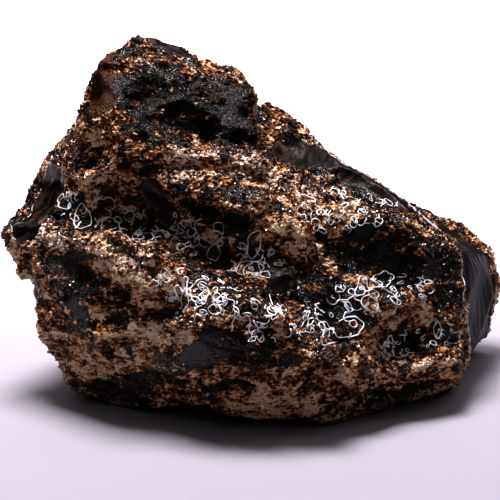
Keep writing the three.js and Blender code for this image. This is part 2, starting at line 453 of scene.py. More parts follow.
FRESH_BREAKS = (
    Break(Spot(0.05, 0.5), Spot(0.1, 0.6), 5.5, rib_height_mm=0.16),
    Break(Spot(0.3, 0.6), Spot(0.35, 0.5), 3.6, rib_mm=1.4),
    Break(Spot(0.35, 0.5), Spot(0.4, 0.45), 3.2, 0.8, rib_mm=1.6),
    Break(Spot(0.45, 0.55), Spot(0.5, 0.45), 3.4, rib_mm=1.5, rib_height_mm=0.06),
    Break(Spot(0.5, 0.45), Spot(0.55, 0.4), 3.2, rib_mm=1.7, rib_height_mm=0.06),
    Break(Spot(0.55, 0.55, Side.TOP), Spot(0.65, 0.6, Side.TOP), 5.0, rib_mm=2.0),
    Break(Spot(0.65, 0.6, Side.TOP), Spot(0.75, 0.6, Side.TOP), 6.0, 0.92, rib_mm=2.4),
    Break(Spot(0.75, 0.6, Side.TOP), Spot(0.9, 0.7, Side.TOP), 5.0, 0.85, rib_mm=2.2),
    Break(
        Spot(0.6, 0.1, Side.RIGHT),
        Spot(0.6, 0.3, Side.RIGHT),
        12.0,
        struck_mm=(3.0, 42.0, 12.0),
        rib_mm=3.4,
        rib_height_mm=0.09,
    ),
    Break(Spot(0.3, 0.6, Side.TOP), Spot(0.35, 0.6, Side.TOP), 3.2, rib_height_mm=0.06),
    Break(Spot(0.7, 0.05), Spot(0.8, 0.05), 5.0, 0.6),
    Break(Spot(0.1, 0.1), Spot(0.2, 0.05), 4.0, 0.6),
    Break(Spot(0.3, 0.65, Side.BACK), Spot(0.4, 0.55, Side.BACK), 9.0, rib_mm=2.6, rib_height_mm=0.13),
    Break(Spot(0.65, 0.2, Side.BACK), Spot(0.7, 0.35, Side.BACK), 7.5, rib_height_mm=0.12),
    Break(Spot(0.2, 0.3, Side.BACK), Spot(0.25, 0.35, Side.BACK), 6.5, rib_height_mm=0.12),
    Break(Spot(0.85, 0.15, Side.RIGHT), Spot(0.9, 0.25, Side.RIGHT), 7.5, rib_height_mm=0.12),
)
PALE_CRUST = (
    Patch(Spot(0.35, 0.7), Spot(0.5, 0.65), 6.0),
    Patch(Spot(0.55, 0.65), Spot(0.6, 0.6), 5.0, 0.6),
    Patch(Spot(0.05, 0.45), Spot(0.15, 0.5), 3.6, 0.7),
    Patch(Spot(0.2, 0.45), Spot(0.3, 0.45), 4.4, 0.85),
    Patch(Spot(0.35, 0.4), Spot(0.5, 0.35), 5.5, 0.8),
    Patch(Spot(0.75, 0.5), Spot(0.85, 0.45), 3.6, 0.8),
    Patch(Spot(0.15, 0.65), Spot(0.25, 0.7), 5.0, 0.5),
    Patch(Spot(0.6, 0.6, Side.BACK), Spot(0.8, 0.45, Side.BACK), 8.0, 0.6),
)
# Patches where the surface is darker and has less crust, the hollow in the peak among them.
DARKER_PATCHES = (
    Patch(Spot(0.3, 0.85), Spot(0.45, 0.8), 9.0),
    Patch(Spot(0.2, 0.95), Spot(0.45, 0.9), 9.0, 0.3),
    Patch(Spot(0.7, 0.45), Spot(0.85, 0.35), 9.0),
    Patch(Spot(0.15, 0.55), Spot(0.3, 0.5), 4.4, 0.55),
    Patch(Spot(0.35, 0.6), Spot(0.45, 0.55), 3.2, 0.5),
    Patch(Spot(0.1, 0.4), Spot(0.25, 0.35), 5.0, 0.45),
    Patch(Spot(0.6, 0.3), Spot(0.65, 0.35), 6.0, 0.8),
    Patch(Spot(0.45, 0.9), Spot(0.5, 0.8), 8.0, 0.75),
    Patch(Spot(0.75, 0.2), Spot(0.85, 0.2), 3.6, 0.8),
    Patch(Spot(0.3, 0.35, Side.BACK), Spot(0.5, 0.3, Side.BACK), 7.0, 0.8),
)
DRY_CRUST = (
    Patch(Spot(0.2, 0.95), Spot(0.45, 0.9), 13.0),
    Patch(Spot(0.3, 0.85), Spot(0.45, 0.8), 10.0, 0.8),
    Patch(Spot(0.5, 0.8), Spot(0.55, 0.7), 7.0, 0.7),
)
# Thin edges painted honey brown in place of light that comes through them: painted light.
PAINTED_GLOW_EDGES = (
    Patch(Spot(0.2, 0.85), Spot(0.2, 0.95), 3.8),
    Patch(Spot(0.95, 0.3, Side.BACK), Spot(0.95, 0.15, Side.BACK), 4.6, 0.8),
)
MATT_FACES = (Patch(Spot(0.6, 0.1, Side.RIGHT), Spot(0.6, 0.3, Side.RIGHT), 14.0),)
# Stretches where the glint loops lie: tubes painted near-white as highlights.
GLINT_LOOP_PATCHES = (
    Patch(Spot(0.15, 0.55), Spot(0.3, 0.5), 4.6),
    Patch(Spot(0.35, 0.5), Spot(0.5, 0.45), 5.5),
    Patch(Spot(0.35, 0.4), Spot(0.5, 0.35), 6.5),
    Patch(Spot(0.5, 0.35), Spot(0.65, 0.3), 4.6),
    Patch(Spot(0.65, 0.35), Spot(0.8, 0.35), 4.6),
    Patch(Spot(0.75, 0.2), Spot(0.85, 0.2), 4.6),
    Patch(Spot(0.6, 0.55), Spot(0.7, 0.55), 4.5),
    Patch(Spot(0.65, 0.5, Side.TOP), Spot(0.75, 0.55, Side.TOP), 4.5, 0.8),
)


@dataclass(frozen=True)
class EdgeGlint:
    """A bright thin line along a crease: a painted highlight where the crease catches the light."""

    start: Spot
    end: Spot


# Lines of painted highlight along two creases.
EDGE_GLINTS = (
    EdgeGlint(Spot(0.45, 0.35, Side.RIGHT), Spot(0.4, 0.1, Side.RIGHT)),
    EdgeGlint(Spot(0.6, 0.45, Side.TOP), Spot(0.8, 0.5, Side.TOP)),
)


# ---------------------------------------------------------------- finishes


@dataclass(frozen=True)
class Wave:
    """A noise that swings a value up and down."""

    size_mm: float
    swing: float

    def onto(self, tree: Tree, place: Socket, value: Socket) -> Socket:
        """Adds the nodes that add the noise's swing to a value.

        Args:
            tree: the material's node tree.
            place: the coordinates the noise reads, in metres.
            value: the socket it swings.

        Returns:
            The swung value's socket.
        """
        wave = add(
            tree,
            "ShaderNodeTexNoise",
            {"Scale": per_size(self.size_mm), "Detail": 3.0, "Roughness": 0.62},
            {"Vector": place},
        )
        centred = add(tree, "ShaderNodeMath", {"operation": "SUBTRACT", 1: 0.5}, {0: wave.outputs[0]})
        return add(
            tree,
            "ShaderNodeMath",
            {"operation": "MULTIPLY_ADD", 1: self.swing},
            {0: centred.outputs[0], 2: value},
        ).outputs[0]


@dataclass(frozen=True)
class CrustBrowns:
    """The shades of the weathered crust, from the black of bare resin up to pale dust.

    A rusty run of shades and a dusty one lie side by side in patches, drawn out along the lump. Faces
    that turn sideways or down get painted light: lighter and rustier crust, which makes up for a light
    that is mostly overhead.
    """

    stops: tuple[float, ...] = (0.36, 0.45, 0.54, 0.63, 0.75, 0.92)
    rusty: tuple[str, ...] = ("#090403", "#2a1308", "#602f0b", "#9a5a1b", "#c1925c", "#e8d0b2")
    dusty: tuple[str, ...] = ("#080505", "#231710", "#553c29", "#8b6b54", "#c09d84", "#efe0d2")
    stretch: Place = (0.62, 0.8, 1.0)
    waves: tuple[Wave, ...] = (Wave(7.5, 1.25), Wave(2.4, 1.75), Wave(0.65, 2.05))
    rust_mm: float = 6.0
    # The crust is painted lighter on faces that turn sideways or down: painted light.
    covers: tuple[tuple[Cover, float], ...] = ((Cover.DARK, -0.27), (Cover.PALE, 0.06), (Cover.LOW, 0.2))
    pale_dust: float = 0.16
    painted_light_dust: float = -0.08
    dust_edge: tuple[float, float] = (0.5, 0.64)

    def colour(self, tree: Tree, place: Socket, lift: Socket) -> Socket:
        """Adds the nodes that shade the crust.

        Args:
            tree: the material's node tree.
            place: the Object coordinates.
            lift: a value round 0.5 that makes a spot lighter or darker.

        Returns:
            The colour socket.
        """
        drawn = add(
            tree, "ShaderNodeVectorMath", {"operation": "MULTIPLY", 1: self.stretch}, {0: place}
        ).outputs[0]
        shade = lift
        for wave in self.waves:
            shade = wave.onto(tree, drawn, shade)
        for cover, weight in self.covers:
            worn = cover_in(tree, cover)
            shade = add(
                tree, "ShaderNodeMath", {"operation": "MULTIPLY_ADD", 1: weight}, {0: worn, 2: shade}
            ).outputs[0]
        pale = cover_in(tree, Cover.PALE)
        patch = add(
            tree,
            "ShaderNodeTexNoise",
            {"Scale": per_size(self.rust_mm), "Detail": 3.0, "Roughness": 0.6},
            {"Vector": drawn},
        )
        bleached = add(
            tree,
            "ShaderNodeMath",
            {"operation": "MULTIPLY_ADD", 1: self.pale_dust},
            {0: pale, 2: patch.outputs[0]},
        )
        # The crust is painted less dusty on faces that turn sideways or down, against the tint of the shade
        # there: painted light.
        washed = add(
            tree,
            "ShaderNodeMath",
            {"operation": "MULTIPLY_ADD", 1: self.painted_light_dust},
            {0: cover_in(tree, Cover.LOW), 2: bleached.outputs[0]},
        )
        low, high = self.dust_edge
        dust = add(
            tree, "ShaderNodeMapRange", {"From Min": low, "From Max": high}, {"Value": washed.outputs[0]}
        )
        return add(
            tree,
            "ShaderNodeMix",
            {"data_type": "RGBA"},
            {
                0: dust.outputs[0],
                6: self._run(tree, shade, self.rusty),
                7: self._run(tree, shade, self.dusty),
            },
        ).outputs[2]

    def _run(self, tree: Tree, shade: Socket, colours: tuple[str, ...]) -> Socket:
        """Adds a ramp through a run of shades.

        Args:
            tree: the material's node tree.
            shade: how light a spot is.
            colours: the shades, from dark to light.

        Returns:
            The colour socket.
        """
        ramp = add(tree, "ShaderNodeValToRGB", links={"Fac": shade})
        steps = ramp.color_ramp.elements
        while len(steps) < len(colours):
            steps.new(0.5)
        for step, position, colour in zip(steps, self.stops, colours):
            step.position = position
            step.color = linear(colour)
        return ramp.outputs[0]


@dataclass(frozen=True)
class WeatheredAmber:
    """Raw amber, a fossil resin: glossy and see-through where broken, crusted where weathered.

    Thick amber of this dark kind drinks nearly all the light that enters it, so a break looks black
    with a sharp reflection. Thin edges are painted an opaque honey brown, in place of light that comes
    through. The crust is dull, granular and brown.
    """

    clear: str = "#5e3a18"
    matt: str = "#1a1517"
    honey: str = "#4e2a0a"
    absorbed: str = "#c89a40"
    absorption_per_m: float = 2400.0
    ior: float = 1.54
    bare_roughness: float = 0.13
    break_roughness: float = 0.3
    crust_roughness: float = 0.6
    film_weight: float = 0.8
    dry_film_weight: float = 0.15
    film_roughness: float = 0.1
    film_ior: float = 1.45
    sheen_level: float = 0.2
    fray_mm: float = 0.7
    fray: float = 1.7
    fresh_loss: float = -0.25
    crust_edge: tuple[float, float] = (1.12, 1.24)
    grit_mm: float = 0.55
    grit_height_mm: float = 0.85
    streak_mm: float = 0.9
    streak_gap_mm: float = 2.2
    sway_mm: float = 4.0
    bend_mm: float = 5.0
    frost: float = 0.6
    frost_edge: tuple[float, float] = (0.98, 1.2)
    bare_lift: float = 0.265
    crust_lift: float = 0.25
    ripple_mm: float = 1.1
    ripple_height_mm: float = 0.08

    def material(self) -> bpy.types.Material:
        """Builds the material of the lump's own surface.

        Returns:
            The finished material.
        """
        finish = bpy.data.materials.new("raw_amber_weathered")
        finish.use_nodes = True
        tree = finish.node_tree
        tree.nodes.clear()
        place = add(tree, "ShaderNodeTexCoord").outputs["Object"]
        crust = self._crust_cover(tree, place)
        lift = add(
            tree,
            "ShaderNodeMath",
            {"operation": "MULTIPLY_ADD", 1: self.crust_lift, 2: self.bare_lift},
            {0: cover_in(tree, Cover.CRUST)},
        ).outputs[0]
        browns = CrustBrowns().colour(tree, place, lift)
        colour = add(
            tree,
            "ShaderNodeMix",
            {"data_type": "RGBA", 6: linear(self.clear)},
            {0: crust, 7: browns},
        ).outputs[2]
        fresh = cover_in(tree, Cover.FRESH)
        matt = add(
            tree,
            "ShaderNodeMath",
            {"operation": "MAXIMUM"},
            {0: cover_in(tree, Cover.MATT), 1: self._streaks(tree, place, fresh)},
        ).outputs[0]
        dull = add(tree, "ShaderNodeMath", {"operation": "MAXIMUM"}, {0: crust, 1: matt}).outputs[0]
        honey = cover_in(tree, Cover.HONEY)
        hidden = add(tree, "ShaderNodeMath", {"operation": "MAXIMUM"}, {0: dull, 1: honey}).outputs[0]
        clear = add(tree, "ShaderNodeMath", {"operation": "SUBTRACT", 0: 1.0}, {1: hidden}).outputs[0]
        frosted = add(
            tree,
            "ShaderNodeMix",
            {"data_type": "RGBA", 7: linear(self.matt)},
            {
                0: add(tree, "ShaderNodeMath", {"operation": "SUBTRACT"}, {0: dull, 1: crust}).outputs[0],
                6: colour,
            },
        ).outputs[2]
        shown = add(
            tree, "ShaderNodeMix", {"data_type": "RGBA", 7: linear(self.honey)}, {0: honey, 6: frosted}
        ).outputs[2]
        bare = add(
            tree,
            "ShaderNodeMapRange",
            {"To Min": self.bare_roughness, "To Max": self.break_roughness},
            {"Value": fresh},
        ).outputs[0]
        rough = add(
            tree,
            "ShaderNodeMapRange",
            {"To Max": self.crust_roughness},
            {"Value": dull, "To Min": bare},
        ).outputs[0]
        dry = matt
        for cover in (Cover.DARK, Cover.DRY):
            dry = add(
                tree, "ShaderNodeMath", {"operation": "MAXIMUM"}, {0: dry, 1: cover_in(tree, cover)}
            ).outputs[0]
        wet = add(
            tree,
            "ShaderNodeMapRange",
            {"To Min": self.film_weight, "To Max": self.dry_film_weight},
            {"Value": dry},
        ).outputs[0]
        relief = self._relief(tree, place)
        surface = add(
            tree,
            "ShaderNodeBsdfPrincipled",
            {
                "IOR": self.ior,
                "Specular IOR Level": self.sheen_level,
                "Coat Roughness": self.film_roughness,
                "Coat IOR": self.film_ior,
            },
            {
                "Base Color": shown,
                "Coat Weight": wet,
                "Roughness": rough,
                "Transmission Weight": clear,
                "Normal": relief,
                "Coat Normal": relief,
            },
        )
        inside = add(
            tree,
            "ShaderNodeVolumeAbsorption",
            {"Color": linear(self.absorbed), "Density": self.absorption_per_m},
        )
        add(
            tree,
            "ShaderNodeOutputMaterial",
            links={"Surface": surface.outputs[0], "Volume": inside.outputs[0]},
        )
        return finish

    def _crust_cover(self, tree: Tree, place: Socket) -> Socket:
        """Adds the nodes for where there is crust, its border frayed finer than the mesh.

        Args:
            tree: the material's node tree.
            place: the Object coordinates.

        Returns:
            The socket that gives how much crust there is.
        """
        cover = cover_in(tree, Cover.CRUST)
        fray = add(
            tree,
            "ShaderNodeTexNoise",
            {"Scale": per_size(self.fray_mm), "Detail": 2.0, "Roughness": 0.6},
            {"Vector": place},
        )
        frayed = add(
            tree,
            "ShaderNodeMath",
            {"operation": "MULTIPLY_ADD", 1: self.fray},
            {0: fray.outputs[0], 2: cover},
        )
        kept = add(
            tree,
            "ShaderNodeMath",
            {"operation": "MULTIPLY_ADD", 1: self.fresh_loss},
            {0: cover_in(tree, Cover.FRESH), 2: frayed.outputs[0]},
        )
        low, high = self.crust_edge
        return add(
            tree,
            "ShaderNodeMapRange",
            {"From Min": low, "From Max": high},
            {"Value": kept.outputs[0]},
        ).outputs[0]

    def _streaks(self, tree: Tree, place: Socket, fresh: Socket) -> Socket:
        """Adds fine frosted streaks on a break, that run round the point where it was struck.

        Args:
            tree: the material's node tree.
            place: the Object coordinates.
            fresh: where the fresh breaks are.

        Returns:
            The socket that gives how frosted it is.
        """
        bend = {"Scale": per_size(self.bend_mm)}
        sway = add(tree, "ShaderNodeTexNoise", bend, {"Vector": place}).outputs[0]
        run = cover_in(tree, Cover.RUN)
        way = add(
            tree, "ShaderNodeMath", {"operation": "MULTIPLY_ADD", 1: self.sway_mm}, {0: sway, 2: run}
        ).outputs[0]
        streak = add(
            tree,
            "ShaderNodeTexNoise",
            {"noise_dimensions": "1D", "Scale": 1 / self.streak_mm, "Detail": 4.0, "Roughness": 0.7},
            {"W": way},
        ).outputs[0]
        broken = add(
            tree,
            "ShaderNodeTexNoise",
            {"Scale": per_size(self.streak_gap_mm), "Detail": 3.0},
            {"Vector": place},
        ).outputs[0]
        both = add(tree, "ShaderNodeMath", {"operation": "ADD"}, {0: streak, 1: broken}).outputs[0]
        low, high = self.frost_edge
        frost = add(
            tree,
            "ShaderNodeMapRange",
            {"From Min": low, "From Max": high, "To Max": self.frost},
            {"Value": both},
        ).outputs[0]
        return add(tree, "ShaderNodeMath", {"operation": "MULTIPLY"}, {0: frost, 1: fresh}).outputs[0]

    def _relief(self, tree: Tree, place: Socket) -> Socket:
        """Adds relief finer than the mesh: grit, worn away on fresh breaks, over slow ripples.

        Args:
            tree: the material's node tree.
            place: the Object coordinates.

        Returns:
            The socket that gives the bent normal.
        """
        ripple = add(
            tree,
            "ShaderNodeTexNoise",
            {"Scale": per_size(self.ripple_mm), "Detail": 2.0, "Distortion": 1.0},
            {"Vector": place},
        )
        rippled = add(
            tree,
            "ShaderNodeBump",
            {"Strength": 1.0, "Distance": self.ripple_height_mm * MM},
            {"Height": ripple.outputs[0]},
        )
        grit = add(
            tree,
            "ShaderNodeTexNoise",
            {"Scale": per_size(self.grit_mm), "Detail": 3.0, "Roughness": 0.6},
            {"Vector": place},
        )
        fresh = cover_in(tree, Cover.FRESH)
        worn = add(tree, "ShaderNodeMapRange", {"From Min": 0.8, "From Max": 0.2}, {"Value": fresh})
        gritty = add(
            tree, "ShaderNodeMath", {"operation": "MULTIPLY"}, {0: grit.outputs[0], 1: worn.outputs[0]}
        )
        return add(
            tree,
            "ShaderNodeBump",
            {"Strength": 1.0, "Distance": self.grit_height_mm * MM},
            {"Height": gritty.outputs[0], "Normal": rippled.outputs[0]},
        ).outputs[0]


@dataclass(frozen=True)
class CrustGrains:
    """Grains of weathered resin and sand set in the crust: angular, wet, from black to tan."""

    roughness: float = 0.35
    ior: float = 1.54
    sheen_level: float = 0.25
    film_weight: float = 0.7
    film_roughness: float = 0.1
    dry_roughness: float = 0.65
    dry_film_weight: float = 0.08
    bright_share: float = 0.1

    def material(self) -> bpy.types.Material:
        """Builds the grains' material, whose shade follows each grain's own tint and its patch.

        Returns:
            The finished material.
        """
        finish = bpy.data.materials.new("amber_crust_grains")
        finish.use_nodes = True
        tree = finish.node_tree
        tree.nodes.clear()
        place = add(tree, "ShaderNodeTexCoord").outputs["Object"]
        tint = cover_in(tree, Cover.TINT)
        chips = add(
            tree,
            "ShaderNodeMapRange",
            {"From Min": 1 - self.bright_share, "From Max": 1.0, "To Min": 0.42, "To Max": 0.72},
            {"Value": tint},
        ).outputs[0]
        lift = add(
            tree,
            "ShaderNodeMath",
            {"operation": "MULTIPLY_ADD", 1: 0.14},
            {0: tint, 2: chips},
        ).outputs[0]
        dry = cover_in(tree, Cover.DRY)
        rough, wet = (
            add(tree, "ShaderNodeMapRange", {"To Min": damp, "To Max": dried}, {"Value": dry}).outputs[0]
            for damp, dried in (
                (self.roughness, self.dry_roughness),
                (self.film_weight, self.dry_film_weight),
            )
        )
        surface = add(
            tree,
            "ShaderNodeBsdfPrincipled",
            {
                "IOR": self.ior,
                "Specular IOR Level": self.sheen_level,
                "Coat Roughness": self.film_roughness,
            },
            {
                # The grains carry the painted light of the crust they sit on: lighter and rustier on faces
                # that turn sideways or down.
                "Base Color": CrustBrowns().colour(tree, place, lift),
                "Roughness": rough,
                "Coat Weight": wet,
            },
        )
        add(tree, "ShaderNodeOutputMaterial", links={"Surface": surface.outputs[0]})
        return finish


@dataclass(frozen=True)
class GlintRimFinish:
    """The finish of the glint loops: a painted highlight, glossy and nearly white.

    The loops stand in for the glints of the lump's wet surface.
    """

    colour: str = "#eeeef1"
    yellowed: str = "#cfc0a6"
    roughness: float = 0.2
    patch_mm: float = 1.6

    def material(self) -> bpy.types.Material:
        """Builds the loops' painted highlight material, yellowed here and there.

        Returns:
            The finished material.
        """
        finish = bpy.data.materials.new("dried_resin_film")
        finish.use_nodes = True
        tree = finish.node_tree
        surface = tree.nodes["Principled BSDF"]
        place = add(tree, "ShaderNodeTexCoord").outputs["Object"]
        patch = add(tree, "ShaderNodeTexNoise", {"Scale": per_size(self.patch_mm)}, {"Vector": place})
        share = add(
            tree, "ShaderNodeMapRange", {"From Min": 0.55, "From Max": 0.75}, {"Value": patch.outputs[0]}
        )
        colour = add(
            tree,
            "ShaderNodeMix",
            {"data_type": "RGBA", 6: linear(self.colour), 7: linear(self.yellowed)},
            {0: share.outputs[0]},
        )
        tree.links.new(colour.outputs[2], surface.inputs["Base Color"])
        surface.inputs["Roughness"].default_value = self.roughness
        return finish


@dataclass(frozen=True)
class FloorBoard:
    """Matt painted board: pale, faintly violet, with no grain to see."""

    colour: str = "#98959c"
    roughness: float = 0.75

    def material(self) -> bpy.types.Material:
        """Builds the floor's plain material.

        Returns:
            The finished material.
        """
        finish = bpy.data.materials.new("pale_painted_board")
        finish.use_nodes = True
        surface = finish.node_tree.nodes["Principled BSDF"]
        surface.inputs["Base Color"].default_value = linear(self.colour)
        surface.inputs["Roughness"].default_value = self.roughness
        surface.inputs["Specular IOR Level"].default_value = 0.1
        return finish


# ---------------------------------------------------------------- the lump


@dataclass
class AmberLump:
    """The lump's own body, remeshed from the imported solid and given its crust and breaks."""

    voxel_mm: float = 0.66
    soften_rounds: int = 5
    lump_mm: float = 8.0
    lump_height_mm: float = 0.5
    knob_mm: float = 3.0
    knob_height_mm: float = 0.55
    grain_mm: float = 1.4
    grain_height_mm: float = 0.32
    crust_mm: float = 4.2
    crust_height_mm: float = 0.4
    pit_mm: float = 3.4
    pit_depth_mm: float = 0.7
    border_mm: float = 1.6
    pit_edge: tuple[float, float] = (0.12, 0.42)
    stray_mm: tuple[float, float] = (4.0, 11.0)
    flow: Place = (1.7, 1.2, 1.0)
    flow_stray_mm: float = 1.0
    crust_edge: tuple[float, float] = (-0.75, 0.15)
    pale_gain: float = 0.3
    dark_loss: float = 0.45
    # The upward facing at which the painted light starts, and the one at which it is full.
    painted_light_facing: tuple[float, float] = (0.8, -0.1)
    dry_foot_mm: tuple[float, float] = (0.4, 2.5)
    seed: int = 7

    def build(self) -> bpy.types.Object:
        """Makes the lump's body.

        Returns:
            The finished object.
        """
        shell = welded_copy()
        mesh = bpy.data.meshes.new("amber_body")
        shell.to_mesh(mesh)
        shell.free()
        piece = linked("amber_body", mesh)
        remesh = piece.modifiers.new("remesh", "REMESH")
        remesh.mode = "VOXEL"
        remesh.voxel_size = self.voxel_mm * MM
        settled(piece)
        put_in_order(piece.data)
        soften = piece.modifiers.new("soften", "SMOOTH")
        soften.factor = 0.5
        soften.iterations = self.soften_rounds
        settled(piece)
        piece.data.materials.clear()
        self._weather(piece.data)
        piece.data.shade_smooth()
        piece.data.materials.append(WeatheredAmber().material())
        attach(piece, "root")
        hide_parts(NODE)
        return piece

    def _weather(self, mesh: bpy.types.Mesh) -> None:
        """Gives the surface its covers, and its relief along its own outward directions.

        Args:
            mesh: the lump's mesh, which it changes.
        """
        noise.seed_set(self.seed)
        places = corners_of(mesh)
        points = places / MM
        wander, stray = (
            np.array([noise.noise_vector(Vector(p)) for p in places * per_size(size_mm)])
            for size_mm in self.stray_mm
        )
        wandered = points + self.border_mm * (wander + stray)
        fresh = covered(FRESH_BREAKS, wandered)
        pale = covered(PALE_CRUST, wandered)
        dark = covered(DARKER_PATCHES, wandered)
        flow = places / np.array(self.flow) + self.flow_stray_mm * MM * wander
        patchy = sampled(flow, self.crust_mm, lambda p: noise.fractal(p, 0.5, 2.0, 4))
        honey = covered(PAINTED_GLOW_EDGES, wandered)
        worn = smoothstep(*self.crust_edge, patchy + self.pale_gain * pale - self.dark_loss * dark)
        crust = worn * (1 - fresh) * (1 - honey)
        standing = smoothstep(*self.dry_foot_mm, points[:, 2])
        for cover, values in {
            Cover.FRESH: fresh,
            Cover.PALE: pale,
            Cover.DARK: dark,
            Cover.DRY: covered(DRY_CRUST, wandered),
            Cover.MATT: covered(MATT_FACES, wandered),
            Cover.CRUST: crust,
            Cover.HONEY: honey,
            Cover.RUN: self._run(points),
            # Painted light: 1 on faces that turn sideways or down, 0 on faces that turn up.
            Cover.LOW: smoothstep(*self.painted_light_facing, normals_of(mesh)[:, 2]),
        }.items():
            set_cover(mesh, cover, values)
        rough = self._relief(places) + self.crust_height_mm * (crust - 0.5)
        height = rough * (1 - fresh) + sum(b.ribs(points) for b in FRESH_BREAKS)
        moved = places + (height * standing * MM)[:, None] * normals_of(mesh)
        moved[:, 2] = np.maximum(moved[:, 2], 0)
        mesh.vertices.foreach_set("co", moved.astype(np.float32).ravel())
        mesh.update()

    @staticmethod
    def _run(points: np.ndarray) -> np.ndarray:
        """Measures how far each point is from where its strongest break was struck.

        Args:
            points: one point a row, in millimetres.

        Returns:
            The distance of each point, in millimetres.
        """
        nearest = np.argmax([patch.weights(points) for patch in FRESH_BREAKS], axis=0)
        runs = np.array([patch.run(points) for patch in FRESH_BREAKS])
        return runs[nearest, np.arange(len(points))]

    def _relief(self, places: np.ndarray) -> np.ndarray:
        """The weathered surface's relief, in millimetres: slow lumps, rounded knobs, grain and pits.

        Args:
            places: one point a row, in metres.

        Returns:
            How far each point stands out.
        """
        lumps = sampled(places, self.lump_mm, lambda p: noise.fractal(p, 0.9, 2.0, 3))
        knobs = sampled(places, self.knob_mm, lambda p: 0.45 - noise.voronoi(p)[0][0])
        grain = sampled(places, self.grain_mm, noise.noise)
        pits = smoothstep(*self.pit_edge, sampled(places + ELSEWHERE, self.pit_mm, noise.noise))
        return (
            self.lump_height_mm * lumps
            + self.knob_height_mm * knobs
            + self.grain_height_mm * grain
            - self.pit_depth_mm * pits
        )


